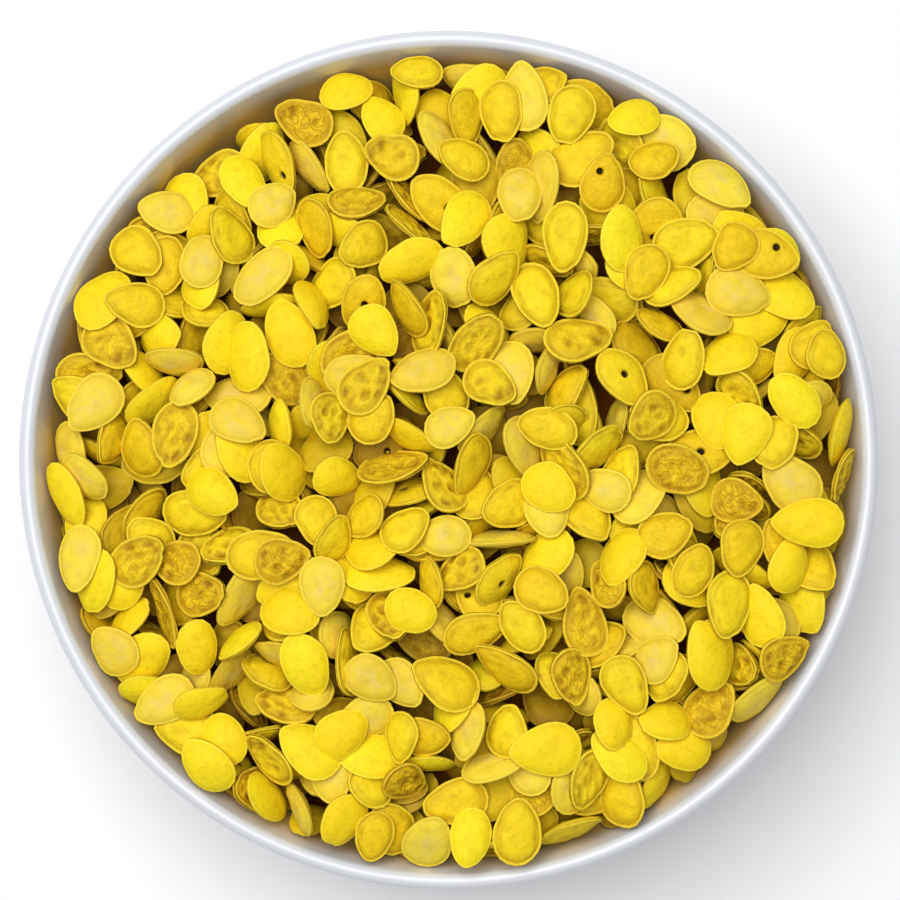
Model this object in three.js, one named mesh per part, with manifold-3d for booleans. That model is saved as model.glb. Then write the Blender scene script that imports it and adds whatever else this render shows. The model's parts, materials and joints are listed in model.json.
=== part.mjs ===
// A white glazed bowl, filled and slightly heaped with roasted pumpkin seeds.
// Units are millimetres and +Z is up. The origin is the middle of the foot ring's underside, on the table.
// The bowl is one turned solid. The seeds are one solid too: a core that fills the bowl, with the seeds
// that show fused on, each at its true size and where it came to rest when it was dropped on the heap.
import * as THREE from "three";
import { mergeVertices } from "three/addons/utils/BufferGeometryUtils.js";
import Module from "manifold-3d";

// Bowl
const RIM_HEIGHT = 60;
const RIM_RADIUS = 90; // outermost
const WALL = 3.6;
const FLOOR_HEIGHT = 8; // inside, in the middle
const FLARE = 18; // degrees that the wall stands off upright at the rim
const FOOT_RADIUS = 41;
const FOOT_WIDTH = 4;
const FOOT_BEVEL = 0.6;
const FOOT_RECESS = 2.5; // how far the underside stands off the table inside the foot ring
const BOWL_SIDES = 56;
const WALL_STEPS = 6;
const STEP_POWER = 0.7; // below 1, steps along the inside get closer towards the rim
const LIP_ANGLES = [0, 45, 90, 135]; // degrees round the lip, from its outermost point

// Seeds: half length, half width and half thickness of a middling one
const SEED_HALF = [6.75, 4.85, 1.75];
const SEED_SCALE = [0.84, 1.18];
const WIDTH_FOLLOWS = 0.5; // share of a seed's scale that its width takes
const SEED_WIDTH_SPREAD = [0.92, 1.08];
const SEED_THICKNESS_SPREAD = [0.85, 1.15];
const SEED_SIDES = 6;
const TIP_TAPER = 0.2; // how much narrower the half with the tip is
const FACE_SHARE = 0.56; // size of a seed's flat face against its outline
const ROOT_DEPTH = 1.6; // in half thicknesses: depth of a seed's low point, which sinks into what it lies on
const LEAST_LEAN = 5; // degrees that a seed lies off level
const MOST_LEAN = 78;
const LEAN_SPREAD = 90; // what the steepest draw adds to the least, before it is held to the most
const LEAN_POWER = 0.9;

// Heap
const EDGE_DROP = 1; // seeds' tops below the rim, at the wall
const DOME_RISE = 8; // heap's middle above its edge
const SLOPE_RISE = 2.5; // one side of the heap is this much higher and the other this much lower
const SLOPE_SIDE = -30; // degrees round from +X to the high side
const HOLLOW_DEPTH = 6; // at the wall on one side, where seeds were taken
const HOLLOW_SIDE = 120; // degrees round from +X
const HOLLOW_REACH = 28;
const SEED_BED = 12; // depth of loose seeds over the core that the drop starts from
const SEEDS_DROPPED = 1200;
const MOST_PROUD = 4; // a seed that would stand further than this over the heap's top is left out
const SHOWS_MM2 = 50; // a seed that shows less than this from above is left to the core
const SHOWS_AT_WALL_MM2 = 34; // the same near the wall, where seeds stand steeper
const PRESS = 1.1; // how far a seed is pressed into what it lies on, so that they fuse
const FUSED_MM3 = 1.5; // a seed that shares less than this with those under it sinks until it does
const SINK_STEP = [0.3, 0.6]; // inwards, as the wall under it does, and down
const MOST_SINKS = 12;
const WALL_CLEARANCE = 0.6; // seeds to the bowl's wall, measured level
const CORE_DEPTH = 1.6; // core's top under the middle height of the seeds around
const CORE_REACH = 6; // how far that middle height is taken over
const CORE_INSET = 0.9; // core to the bowl
const CORE_EDGE = 4.5; // core's edge to the inside's, along the level
const CORE_SIDES = 30;
const CORE_RINGS = 6; // of its top
const CORE_STEPS = 5; // of its underside

// Drop
const PLACES = [4, 80]; // a seed falls on the lowest of this many: the first seed and the last
const PLACE_INSET = 1.5; // places to the wall
const LIES = 16; // ways of lying that it tries there
const FLATTER_EVERY = 4; // after each so many lies, it may go on with flatter ones
const LIE_SHIFT = 5; // how wide around the place it tries them
const PROUD_FREE = 1.5; // beyond this height over the heap's top, a lie counts as worse by what it is prouder
const TOO_PROUD = 1.5; // it does while its best lie is prouder than this
const FLATTER = 0.88;
const OUTWARD = 0.6; // height that it gives up for each mm that a lie is further out: it slides to the wall
const MOVES = 24; // small ones that it settles by
const MOVE_SHIFT = 1.2;
const MOVE_TURN = 0.1; // radians
const MOVE_LEAN = 0.05;
const WALL_LEAN = 0.4; // the same near the wall, where seeds lean on it
const WALL_REACH = 14;

// Height grid that the seeds are dropped on
const CELL = 0.6;
const CELLS = 2 * Math.ceil(RIM_RADIUS / CELL) + 1;
const SOLID_RIM = 500; // height given to every place beyond the bowl's inside

const radians = THREE.MathUtils.degToRad;

// The lip is a half round, and the inner face ends where it starts: there the face stands at FLARE.
const LIP_RADIUS = WALL / 2;
const INNER_RADIUS = RIM_RADIUS - LIP_RADIUS * (1 + Math.cos(radians(FLARE)));
const INNER_DEPTH = RIM_HEIGHT - LIP_RADIUS * (1 - Math.sin(radians(FLARE))) - FLOOR_HEIGHT;
const WALL_POWER = INNER_RADIUS / (Math.tan(radians(FLARE)) * INNER_DEPTH);

// Height of the bowl's inner face at a distance from the middle.
function insideHeight(radius) {
  return FLOOR_HEIGHT + INNER_DEPTH * (radius / INNER_RADIUS) ** WALL_POWER;
}

// A point off the inner face, measured square to it: into the wall, or away from it if offset is negative.
function offInside(radius, offset) {
  const slope = (WALL_POWER * INNER_DEPTH * (radius / INNER_RADIUS) ** (WALL_POWER - 1)) / INNER_RADIUS;
  const length = Math.hypot(1, slope);
  return [radius + (offset * slope) / length, insideHeight(radius) - offset / length];
}

// Height that the seeds' tops come to.
function heapHeight(x, y) {
  const out = Math.hypot(x, y) / INNER_RADIUS;
  const along = (x * Math.cos(radians(SLOPE_SIDE)) + y * Math.sin(radians(SLOPE_SIDE))) / INNER_RADIUS;
  const hollow = radians(HOLLOW_SIDE);
  const toHollow = Math.hypot(x - INNER_RADIUS * Math.cos(hollow), y - INNER_RADIUS * Math.sin(hollow));
  const taken = HOLLOW_DEPTH * Math.exp(-((toHollow / HOLLOW_REACH) ** 2));
  return RIM_HEIGHT - EDGE_DROP + DOME_RISE * (1 - out * out) + SLOPE_RISE * along - taken;
}

// Half of the bowl's section: under the foot, up the outside, over the lip and down the inside.
function bowlProfile() {
  const footInside = FOOT_RADIUS - FOOT_WIDTH;
  const points = [[0, FOOT_RECESS], [footInside, FOOT_RECESS], [footInside + FOOT_BEVEL, 0]];
  points.push([FOOT_RADIUS - FOOT_BEVEL, 0], [FOOT_RADIUS, FOOT_BEVEL]);
  for (let i = 0; i <= WALL_STEPS; i++)
    points.push(offInside(FOOT_RADIUS + ((INNER_RADIUS - FOOT_RADIUS) * i) / WALL_STEPS, WALL));
  for (const angle of LIP_ANGLES.map(radians))
    points.push([
      RIM_RADIUS - LIP_RADIUS * (1 - Math.cos(angle)),
      RIM_HEIGHT - LIP_RADIUS * (1 - Math.sin(angle)),
    ]);
  for (let i = WALL_STEPS; i >= 0; i--) {
    const radius = INNER_RADIUS * (i / WALL_STEPS) ** STEP_POWER;
    points.push([radius, insideHeight(radius)]);
  }
  return points.map(([r, z]) => new THREE.Vector2(r, z));
}

// A turned geometry stands along +Y in three.js, and along +Z here.
function turned(points, sides) {
  return new THREE.LatheGeometry(points, sides).rotateX(Math.PI / 2);
}

// A seeded draw between 0 and 1, the same on every run.
let drawn = 7;
function draw() {
  drawn = (drawn * 1664525 + 1013904223) % 4294967296;
  return drawn / 4294967296;
}
const between = ([low, high]) => low + (high - low) * draw();

const grid = new Float64Array(CELLS * CELLS);
const owner = new Int32Array(CELLS * CELLS).fill(-1);
const place = (i) => (i - (CELLS - 1) / 2) * CELL;
const index = (v) => Math.round(v / CELL) + (CELLS - 1) / 2;

function fillGrid() {
  for (let i = 0; i < CELLS; i++)
    for (let j = 0; j < CELLS; j++) {
      const out = Math.hypot(place(i), place(j));
      const bed = heapHeight(place(i), place(j)) - SEED_BED;
      const wall = out < INNER_RADIUS - WALL_CLEARANCE ? insideHeight(out + WALL_CLEARANCE) : SOLID_RIM;
      grid[i * CELLS + j] = Math.max(bed, wall + PRESS); // so that no seed is pressed into the wall
    }
}

// Calls visit(cell, bottom, top) for each grid cell under a seed, taken as an ellipsoid.
function underSeed(x, y, turn, half, visit) {
  const axes = [0, 1, 2].map((k) => new THREE.Vector3().setComponent(k, 1).applyQuaternion(turn));
  const product = (a, p, q) => a.getComponent(p) * a.getComponent(q);
  const sum = (p, q) => axes.reduce((s, a, k) => s + product(a, p, q) / half[k] ** 2, 0);
  const [xx, xy, yy, xz, yz, zz] = [sum(0, 0), sum(0, 1), sum(1, 1), sum(0, 2), sum(1, 2), sum(2, 2)];
  const reach = half[0] + CELL;
  for (let i = index(x - reach); i <= index(x + reach); i++)
    for (let j = index(y - reach); j <= index(y + reach); j++) {
      if (i < 0 || j < 0 || i >= CELLS || j >= CELLS) continue;
      const dx = place(i) - x;
      const dy = place(j) - y;
      const b = xz * dx + yz * dy;
      const left = b * b - zz * (xx * dx * dx + 2 * xy * dx * dy + yy * dy * dy - 1);
      if (left > 0) visit(i * CELLS + j, (-b - Math.sqrt(left)) / zz, (-b + Math.sqrt(left)) / zz);
    }
}

// Height at which a seed comes to rest on what is there, and how far its top is then over the heap's.
function restAt(x, y, turn, half) {
  let z = -Infinity;
  let top = -Infinity;
  underSeed(x, y, turn, half, (cell, bottom, upper) => {
    z = Math.max(z, grid[cell] - bottom);
    top = Math.max(top, upper);
  });
  z -= PRESS;
  const over = z + top - heapHeight(x, y);
  return { x, y, z, turn, half, over, cost: z + Math.max(0, over - PROUD_FREE) - OUTWARD * Math.hypot(x, y) };
}

const AXIS_Z = new THREE.Vector3(0, 0, 1);
function leaning(turnAngle, lean, side) {
  const hinge = new THREE.Vector3(-Math.sin(side), Math.cos(side), 0);
  const turn = new THREE.Quaternion().setFromAxisAngle(hinge, lean);
  return turn.multiply(new THREE.Quaternion().setFromAxisAngle(AXIS_Z, turnAngle));
}

// The lowest of some random places, more of them as the heap fills, so that the last seeds find its gaps.
function lowPlace(filled) {
  const count = Math.floor(PLACES[0] + (PLACES[1] - PLACES[0]) * filled + 0.5);
  let best;
  for (let k = 0; k < count; k++) {
    const out = (INNER_RADIUS - PLACE_INSET) * Math.sqrt(draw());
    const round = 2 * Math.PI * draw();
    const [x, y] = [out * Math.cos(round), out * Math.sin(round)];
    const low = grid[index(x) * CELLS + index(y)] - heapHeight(x, y);
    if (!best || low < best.low) best = { x, y, low };
  }
  return best;
}

// A seed falls on a low place, takes the best of several lies at its own lean, and then settles a little.
function dropSeed(filled) {
  const { x, y } = lowPlace(filled);
  const size = between(SEED_SCALE);
  const half = [
    SEED_HALF[0] * size,
    SEED_HALF[1] * (1 + WIDTH_FOLLOWS * (size - 1)) * between(SEED_WIDTH_SPREAD),
    SEED_HALF[2] * between(SEED_THICKNESS_SPREAD),
  ];
  let lean = radians(Math.min(MOST_LEAN, LEAST_LEAN + LEAN_SPREAD * draw() ** LEAN_POWER));
  let best;
  for (let k = 0; k < LIES; k++) {
    const turn = leaning(2 * Math.PI * draw(), lean, 2 * Math.PI * draw());
    const lie = restAt(x + LIE_SHIFT * (draw() - 0.5), y + LIE_SHIFT * (draw() - 0.5), turn, half);
    if (!best || lie.cost < best.cost) best = lie;
    if ((k + 1) % FLATTER_EVERY === 0 && best.over > TOO_PROUD) lean *= FLATTER;
  }
  for (let k = 0; k < MOVES; k++) {
    const nearWall = Math.hypot(best.x, best.y) > INNER_RADIUS - WALL_REACH;
    const most = nearWall ? WALL_LEAN : MOVE_LEAN;
    const nudge = leaning(MOVE_TURN * (draw() - 0.5), most * draw(), 2 * Math.PI * draw());
    const [dx, dy] = [MOVE_SHIFT * (draw() - 0.5), MOVE_SHIFT * (draw() - 0.5)];
    const lie = restAt(best.x + dx, best.y + dy, nudge.multiply(best.turn), half);
    if (lie.cost < best.cost) best = lie;
  }
  return best;
}

// Every seed that shows from above, the lowest first.
function heapSeeds() {
  fillGrid();
  const seeds = [];
  for (let k = 0; k < SEEDS_DROPPED; k++) {
    const seed = { ...dropSeed(k / SEEDS_DROPPED), shows: 0 };
    seeds.push(seed);
    if (seed.over > MOST_PROUD) continue;
    underSeed(seed.x, seed.y, seed.turn, seed.half, (cell, bottom, top) => {
      if (seed.z + top > grid[cell]) {
        grid[cell] = seed.z + top;
        owner[cell] = k;
      }
    });
  }
  for (const k of owner) if (k >= 0) seeds[k].shows += CELL * CELL;
  const atWall = (s) => Math.hypot(s.x, s.y) > INNER_RADIUS - WALL_REACH;
  const kept = seeds.filter((s) => s.shows > (atWall(s) ? SHOWS_AT_WALL_MM2 : SHOWS_MM2));
  return kept.sort((a, b) => a.z - b.z);
}

// Outline of a seed at an angle from its tip, for half length and half width 1.
function seedOutline(angle) {
  return [Math.cos(angle), Math.sin(angle) * (1 - TIP_TAPER * Math.cos(angle))];
}

// A seed with a flat upper face, a sharp edge all round and a low point underneath.
function seedGeometry([halfLength, halfWidth, halfThickness]) {
  const points = [];
  for (const share of [1, FACE_SHARE])
    for (let k = 0; k < SEED_SIDES; k++) {
      const [x, y] = seedOutline((2 * Math.PI * k) / SEED_SIDES);
      points.push(x * halfLength * share, y * halfWidth * share, share === 1 ? 0 : halfThickness);
    }
  points.push(0, 0, -halfThickness * ROOT_DEPTH);
  const faces = [];
  for (let k = 0; k < SEED_SIDES; k++) {
    const next = (k + 1) % SEED_SIDES;
    faces.push(k, next, SEED_SIDES + k, next, SEED_SIDES + next, SEED_SIDES + k);
    faces.push(next, k, 2 * SEED_SIDES);
    if (k > 0 && k < SEED_SIDES - 1) faces.push(SEED_SIDES, SEED_SIDES + k, SEED_SIDES + k + 1);
  }
  const made = new THREE.BufferGeometry();
  made.setAttribute("position", new THREE.Float32BufferAttribute(points, 3));
  return made.setIndex(faces);
}

// Middle height of the seeds around a place, off the grid.
function heightAround(x, y) {
  let [sum, count] = [0, 0];
  for (let i = index(x - CORE_REACH); i <= index(x + CORE_REACH); i++)
    for (let j = index(y - CORE_REACH); j <= index(y + CORE_REACH); j++)
      if (owner[i * CELLS + j] >= 0) {
        sum += grid[i * CELLS + j];
        count += 1;
      }
  return sum / count;
}

// What fills the bowl under the seeds that show. Its top follows the seeds', its underside the bowl's inside.
function coreGeometry() {
  const edge = INNER_RADIUS - CORE_EDGE;
  const points = [];
  for (let i = 0; i <= CORE_STEPS; i++)
    points.push(new THREE.Vector2(...offInside(edge * (i / CORE_STEPS) ** STEP_POWER, -CORE_INSET)));
  const widest = points.at(-1).x;
  const upper = 2 * RIM_HEIGHT; // marks the upper points until they are given their height
  for (let i = CORE_RINGS - 1; i >= 0; i--) points.push(new THREE.Vector2((widest * i) / CORE_RINGS, upper));
  const made = turned(points, CORE_SIDES);
  const at = made.attributes.position;
  for (let k = 0; k < at.count; k++)
    if (at.getZ(k) > RIM_HEIGHT) at.setZ(k, heightAround(at.getX(k), at.getY(k)) - CORE_DEPTH);
  return made;
}

const wasm = await Module();
wasm.setup();

function solid(geometry) {
  geometry.deleteAttribute("normal");
  geometry.deleteAttribute("uv");
  const merged = mergeVertices(geometry);
  return new wasm.Manifold(
    new wasm.Mesh({
      numProp: 3,
      vertProperties: merged.attributes.position.array,
      triVerts: new Uint32Array(merged.index.array),
    }),
  );
}

function geometryOf(manifold) {
  const mesh = manifold.getMesh();
  const made = new THREE.BufferGeometry();
  made.setAttribute("position", new THREE.BufferAttribute(mesh.vertProperties, 3));
  made.setIndex(new THREE.BufferAttribute(mesh.triVerts, 1));
  made.computeVertexNormals();
  return made;
}

// Adds a seed to the heap, sunk as far as it needs to fuse with it.
function addSeed(heap, seed) {
  const shell = seedGeometry(seed.half).applyQuaternion(seed.turn).translate(seed.x, seed.y, seed.z);
  const inward = SINK_STEP[0] / Math.hypot(seed.x, seed.y);
  let body = solid(shell.clone());
  for (let k = 0; k < MOST_SINKS && body.intersect(heap).volume() < FUSED_MM3; k++)
    body = solid(shell.translate(-seed.x * inward, -seed.y * inward, -SINK_STEP[1]).clone());
  return heap.add(body);
}

function heapGeometry() {
  const seeds = heapSeeds(); // first, because the core's top follows them
  const heap = seeds.reduce(addSeed, solid(coreGeometry()));
  // Only the largest body's outer skin is kept, which fills sealed hollows and drops loose scraps.
  const bodies = heap.decompose().sort((a, b) => b.volume() - a.volume());
  return geometryOf(bodies[0]);
}

const glaze = new THREE.MeshStandardMaterial({ color: 0xeef1f5, roughness: 0.15, metalness: 0 });
const roasted = new THREE.MeshStandardMaterial({ color: 0xe9c31d, roughness: 0.75, metalness: 0 });

function named(name, geometry, material) {
  const mesh = new THREE.Mesh(geometry, material);
  mesh.name = name;
  return mesh;
}

const bowlOfSeeds = new THREE.Group();
bowlOfSeeds.add(named("bowl", turned(bowlProfile(), BOWL_SIDES), glaze));
bowlOfSeeds.add(named("seed_heap", heapGeometry(), roasted));

export default bowlOfSeeds;
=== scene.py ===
import json
import math

import bpy
import numpy as np
from mathutils import Matrix, Vector

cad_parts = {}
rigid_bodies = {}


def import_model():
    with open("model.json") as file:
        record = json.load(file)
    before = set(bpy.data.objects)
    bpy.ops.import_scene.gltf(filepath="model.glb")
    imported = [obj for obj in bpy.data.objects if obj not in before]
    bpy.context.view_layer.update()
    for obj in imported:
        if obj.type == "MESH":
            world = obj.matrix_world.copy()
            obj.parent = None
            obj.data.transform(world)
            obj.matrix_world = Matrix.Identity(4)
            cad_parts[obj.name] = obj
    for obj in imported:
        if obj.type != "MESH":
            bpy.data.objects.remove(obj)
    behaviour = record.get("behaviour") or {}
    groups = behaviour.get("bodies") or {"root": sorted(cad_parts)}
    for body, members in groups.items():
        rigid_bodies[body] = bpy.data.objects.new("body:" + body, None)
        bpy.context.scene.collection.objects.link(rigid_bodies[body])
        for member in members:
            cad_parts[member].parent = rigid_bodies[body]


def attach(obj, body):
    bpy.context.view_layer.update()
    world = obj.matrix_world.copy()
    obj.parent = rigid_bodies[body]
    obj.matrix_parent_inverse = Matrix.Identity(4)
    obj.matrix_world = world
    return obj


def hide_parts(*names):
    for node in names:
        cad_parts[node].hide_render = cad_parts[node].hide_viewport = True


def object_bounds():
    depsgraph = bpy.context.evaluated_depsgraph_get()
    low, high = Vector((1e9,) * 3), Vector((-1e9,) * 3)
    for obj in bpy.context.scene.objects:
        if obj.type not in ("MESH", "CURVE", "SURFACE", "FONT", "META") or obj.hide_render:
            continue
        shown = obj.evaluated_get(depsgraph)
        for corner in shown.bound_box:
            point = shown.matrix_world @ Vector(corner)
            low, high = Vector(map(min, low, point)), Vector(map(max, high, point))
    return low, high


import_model()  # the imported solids: bowl and seed_heap
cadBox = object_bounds()
mm = 0.001
body = "root"  # food in its bowl, so everything rides on the one body

# The bowl is turned about the upright axis from these sizes, in millimetres.
bowlSizes = {
    "rimHeight": 60.0,
    "rimRadius": 90.0,  # outermost
    "wall": 3.6,
    "floorHeight": 8.0,  # inside, in the middle
    "flare": 18.0,  # degrees that the wall stands off upright at the rim
    "footRadius": 41.0,
    "footWidth": 4.0,
    "footBevel": 0.6,
    "footRecess": 2.5,
    "sides": 160,
    "innerSteps": 26,
    "outerSteps": 18,
    "lipSteps": 12,
    "footSteps": 3,
    "bareHeight": 0.3,  # faces of the foot ring below this have no glaze
}
lipRadius = bowlSizes["wall"] / 2
flare = math.radians(bowlSizes["flare"])
innerRadius = bowlSizes["rimRadius"] - lipRadius * (1 + math.cos(flare))
innerDepth = bowlSizes["rimHeight"] - lipRadius * (1 - math.sin(flare)) - bowlSizes["floorHeight"]
wallPower = innerRadius / (math.tan(flare) * innerDepth)


# Helpers
def linear(hexColour):
    channels = [int(hexColour[i:i + 2], 16) / 255 for i in (1, 3, 5)]
    return [c / 12.92 if c <= 0.04045 else ((c + 0.055) / 1.055) ** 2.4 for c in channels] + [1.0]


def addNode(tree, kind, settings=None, links=None):
    node = tree.nodes.new(kind)
    for name, value in (settings or {}).items():
        setattr(node, name, value)
    for name, value in (links or {}).items():
        if isinstance(value, bpy.types.NodeSocket):
            tree.links.new(value, node.inputs[name])
        else:
            node.inputs[name].default_value = value
    return node


def newMaterial(name):
    material = bpy.data.materials.new(name)
    material.use_nodes = True
    material.node_tree.nodes.clear()
    return material, material.node_tree


def makeObject(name, points, faces):
    mesh = bpy.data.meshes.new(name)
    mesh.from_pydata(np.asarray(points).tolist(), [], faces)
    mesh.shade_smooth()
    made = bpy.data.objects.new(name, mesh)
    bpy.context.scene.collection.objects.link(made)
    return made


# Gives each point of a mesh a value for its material or for Geometry Nodes to read.
def mark(made, label, kind, values):
    field = "vector" if kind == "FLOAT_VECTOR" else "value"
    attribute = made.data.attributes.new(label, kind, "POINT")
    attribute.data.foreach_set(field, np.asarray(values, np.float32).ravel())


# 1 at the middle, and falling off smoothly on both sides.
def bell(x, width, middle=0.0):
    return np.exp(-np.square((x - middle) / width))


# Faces of a closed skin: a first pole, rings that run counterclockwise seen from it, and a last pole.
def skinFaces(rings, sides):
    at = lambda ring, k: 1 + ring * sides + k % sides
    last = 1 + rings * sides
    faces = []
    for k in range(sides):
        faces.append((0, at(0, k), at(0, k + 1)))
        faces += [(at(j, k), at(j + 1, k), at(j + 1, k + 1), at(j, k + 1)) for j in range(rings - 1)]
        faces.append((last, at(rings - 1, k + 1), at(rings - 1, k)))
    return faces


# Bowl
def insideHeight(radius):
    return bowlSizes["floorHeight"] + innerDepth * (radius / innerRadius) ** wallPower


# A point off the inner face, measured square to it: into the wall, or away from it if offset is negative.
def offInside(radius, offset):
    slope = wallPower * innerDepth * (radius / innerRadius) ** (wallPower - 1) / innerRadius
    length = math.hypot(1, slope)
    return radius + offset * slope / length, insideHeight(radius) - offset / length


def quarterTurn(centre, radius, start, steps):
    turns = [math.radians(start + 90 * k / steps) for k in range(steps + 1)]
    return [(centre[0] + radius * math.cos(t), centre[1] + radius * math.sin(t)) for t in turns]


# Half of the section, from the middle of the inside over the lip and down to the middle of the underside.
def bowlSection():
    size = bowlSizes
    inner = [innerRadius * k / size["innerSteps"] for k in range(size["innerSteps"] + 1)]
    section = [(r, insideHeight(r)) for r in inner]
    lipMiddle = (size["rimRadius"] - lipRadius, size["rimHeight"] - lipRadius)
    start, end = math.pi - flare, -flare
    for k in range(1, size["lipSteps"]):
        turn = start + (end - start) * k / size["lipSteps"]
        section.append((lipMiddle[0] + lipRadius * math.cos(turn), lipMiddle[1] + lipRadius * math.sin(turn)))
    foot, bevel = size["footRadius"], size["footBevel"]
    for k in range(size["outerSteps"], -1, -1):
        section.append(offInside(foot + (innerRadius - foot) * k / size["outerSteps"], size["wall"]))
    inside = foot - size["footWidth"]
    section += quarterTurn((foot - bevel, bevel), bevel, -90, size["footSteps"])[::-1]
    section += quarterTurn((inside + bevel, bevel), bevel, 180, size["footSteps"])[::-1]
    section += [(inside, size["footRecess"]), (inside * 0.5, size["footRecess"]), (0.0, size["footRecess"])]
    return section


def turned(name, section, sides):
    rings = section[1:-1]
    points = [(0.0, 0.0, section[0][1])]
    for radius, z in rings:
        for k in range(sides):
            turn = 2 * math.pi * k / sides
            points.append((radius * math.cos(turn), radius * math.sin(turn), z))
    points.append((0.0, 0.0, section[-1][1]))
    return makeObject(name, np.array(points) * mm, skinFaces(len(rings), sides))


# White porcelain under a clear glaze: a cool white, glossy, with the faint swell that a fired glaze keeps.
# The seeds' coating has dusted the inside, and the same warm tint is also painted shade and painted bounce
# light from the seeds, both thicker lower down.
glazeLooks = {
    "whites": ("#d9dce3", "#e0e2e6"),
    "cloud": 38.0,  # mm across a cloud of the second white
    "swell": 14.0,
    "swellHeight": 0.12,
    "dustAndShadeColour": "#c69f34",
    "dustAndShadeStart": 59.5,  # height where the dust and painted shade begin
    "dustAndShadeFull": 52.5,  # and where they are strongest
    "dustAndShadeMost": 0.9,
}


def porcelainGlaze():
    look = glazeLooks
    material, tree = newMaterial("glazed white porcelain")
    place = addNode(tree, "ShaderNodeTexCoord").outputs["Object"]
    clouds = addNode(tree, "ShaderNodeTexNoise", {}, {
        "Vector": place, "Scale": 1000 / look["cloud"], "Detail": 2.0})
    tint = addNode(tree, "ShaderNodeMix", {"data_type": "RGBA"}, {
        "Factor": clouds.outputs["Fac"], 6: linear(look["whites"][0]), 7: linear(look["whites"][1])})
    height = addNode(tree, "ShaderNodeSeparateXYZ", {}, {"Vector": place}).outputs["Z"]
    inside = addNode(tree, "ShaderNodeAttribute", {"attribute_name": "inside"}).outputs["Fac"]
    # the inside turns darker and warmer lower down: dust plus painted shade and painted bounce light from the
    # seeds
    depth = addNode(tree, "ShaderNodeMapRange", {}, {
        "Value": height, "From Min": look["dustAndShadeStart"] * mm, "From Max": look["dustAndShadeFull"] * mm,
        "To Max": look["dustAndShadeMost"]})
    dustedAndShaded = addNode(tree, "ShaderNodeMath", {"operation": "MULTIPLY"}, {
        0: depth.outputs["Result"], 1: inside})
    glaze = addNode(tree, "ShaderNodeMix", {"data_type": "RGBA"}, {
        "Factor": dustedAndShaded.outputs["Value"], 6: tint.outputs[2], 7: linear(look["dustAndShadeColour"])})
    swell = addNode(tree, "ShaderNodeTexNoise", {}, {
        "Vector": place, "Scale": 1000 / look["swell"], "Detail": 1.0})
    bump = addNode(tree, "ShaderNodeBump", {}, {
        "Strength": 0.25, "Distance": look["swellHeight"] * mm, "Height": swell.outputs["Fac"]})
    shader = addNode(tree, "ShaderNodeBsdfPrincipled", {}, {
        "Base Color": glaze.outputs[2], "Roughness": 0.35, "IOR": 1.5, "Coat Weight": 0.4,
        "Coat Roughness": 0.16, "Normal": bump.outputs["Normal"], "Coat Normal": bump.outputs["Normal"]})
    addNode(tree, "ShaderNodeOutputMaterial", {}, {"Surface": shader.outputs["BSDF"]})
    return material


# The foot's bare ring: the fired clay itself, warmer and dull, with a fine grit.
clayLooks = {"clays": ("#cfc7b8", "#e9e4da"), "grit": 0.7, "gritHeight": 0.08}


def bareClay():
    look = clayLooks
    material, tree = newMaterial("unglazed fired clay")
    place = addNode(tree, "ShaderNodeTexCoord").outputs["Object"]
    grit = addNode(tree, "ShaderNodeTexNoise", {}, {
        "Vector": place, "Scale": 1000 / look["grit"], "Detail": 3.0})
    tint = addNode(tree, "ShaderNodeMix", {"data_type": "RGBA"}, {
        "Factor": grit.outputs["Fac"], 6: linear(look["clays"][0]), 7: linear(look["clays"][1])})
    bump = addNode(tree, "ShaderNodeBump", {}, {
        "Strength": 0.5, "Distance": look["gritHeight"] * mm, "Height": grit.outputs["Fac"]})
    shader = addNode(tree, "ShaderNodeBsdfPrincipled", {}, {
        "Base Color": tint.outputs[2], "Roughness": 0.85, "IOR": 1.5, "Normal": bump.outputs["Normal"]})
    addNode(tree, "ShaderNodeOutputMaterial", {}, {"Surface": shader.outputs["BSDF"]})
    return material


def makeBowl():
    size = bowlSizes
    bowl = turned("porcelain_bowl", bowlSection(), size["sides"])
    bowl.data.materials.append(porcelainGlaze())
    bowl.data.materials.append(bareClay())
    inside = np.zeros(len(bowl.data.vertices))
    inside[:1 + size["innerSteps"] * size["sides"]] = 1
    mark(bowl, "inside", "FLOAT", inside)
    for face in bowl.data.polygons:
        if face.center.z < size["bareHeight"] * mm:
            face.material_index = 1
    return bowl


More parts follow.
